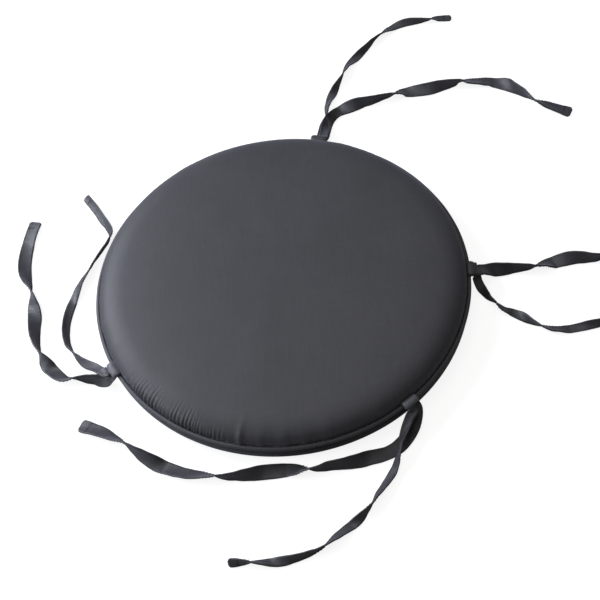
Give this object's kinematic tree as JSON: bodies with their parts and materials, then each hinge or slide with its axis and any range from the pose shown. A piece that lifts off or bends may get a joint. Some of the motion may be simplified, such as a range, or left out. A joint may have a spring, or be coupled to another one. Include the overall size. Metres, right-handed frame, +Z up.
{
  "type": "chair seat pad",
  "caption": "Round padded chair seat pad with a knife-edge piped seam and pairs of fabric tie straps round the rim, lying flat.",
  "frame": {"origin": "middle of the pad's flat underside, on the surface that the pad rests on", "axes": "+Z up through the pad, +X to the right and +Y to the back as the pad is seen from its front"},
  "size_m": [0.6735, 0.654, 0.0402],
  "materials": {
    "cover_fabric": "charcoal plain-weave cover cloth with a slight satin sheen",
    "piping_fabric": "the same charcoal cloth cut on the bias round a cord",
    "tie_fabric": "the same charcoal cloth folded and stitched into narrow straps",
    "filler_cord": "undyed twisted cotton cord",
    "foam": "soft open-cell upholstery foam",
    "wadding": "white bonded fibre wadding"
  },
  "bodies": {
    "pad": {"top_panel": "cover_fabric", "bottom_panel": "cover_fabric", "piping_cover": "piping_fabric", "piping_cord": "filler_cord", "foam_core": "foam", "wadding_top": "wadding", "wadding_bottom": "wadding", "tie_fold_back": "tie_fabric", "tie_fold_right": "tie_fabric", "tie_fold_front": "tie_fabric", "tie_fold_left": "tie_fabric"},
    "ties_back": {"tie_back_a": "tie_fabric", "tie_back_b": "tie_fabric"},
    "ties_right": {"tie_right_a": "tie_fabric", "tie_right_b": "tie_fabric"},
    "ties_front": {"tie_front_a": "tie_fabric", "tie_front_b": "tie_fabric"},
    "ties_left": {"tie_left_a": "tie_fabric", "tie_left_b": "tie_fabric"}
  },
  "joints": [
    {"name": "ties_back_lift", "type": "hinge", "parent": "pad", "child": "ties_back", "pos_m": [0.06345, 0.18428, 0.0251], "axis": [0.9455, -0.3256, 0], "range_deg": [0, 90]},
    {"name": "ties_right_lift", "type": "hinge", "parent": "pad", "child": "ties_right", "pos_m": [0.19383, -0.02037, 0.0251], "axis": [-0.1045, -0.9945, 0], "range_deg": [0, 90]},
    {"name": "ties_front_lift", "type": "hinge", "parent": "pad", "child": "ties_front", "pos_m": [0.099, -0.168, 0.0251], "axis": [-0.9397, 0.342, 0], "range_deg": [0, 90]},
    {"name": "ties_left_lift", "type": "hinge", "parent": "pad", "child": "ties_left", "pos_m": [-0.1827, -0.0684, 0.0251], "axis": [0.5, 0.866, 0], "range_deg": [0, 90]}
  ]
}
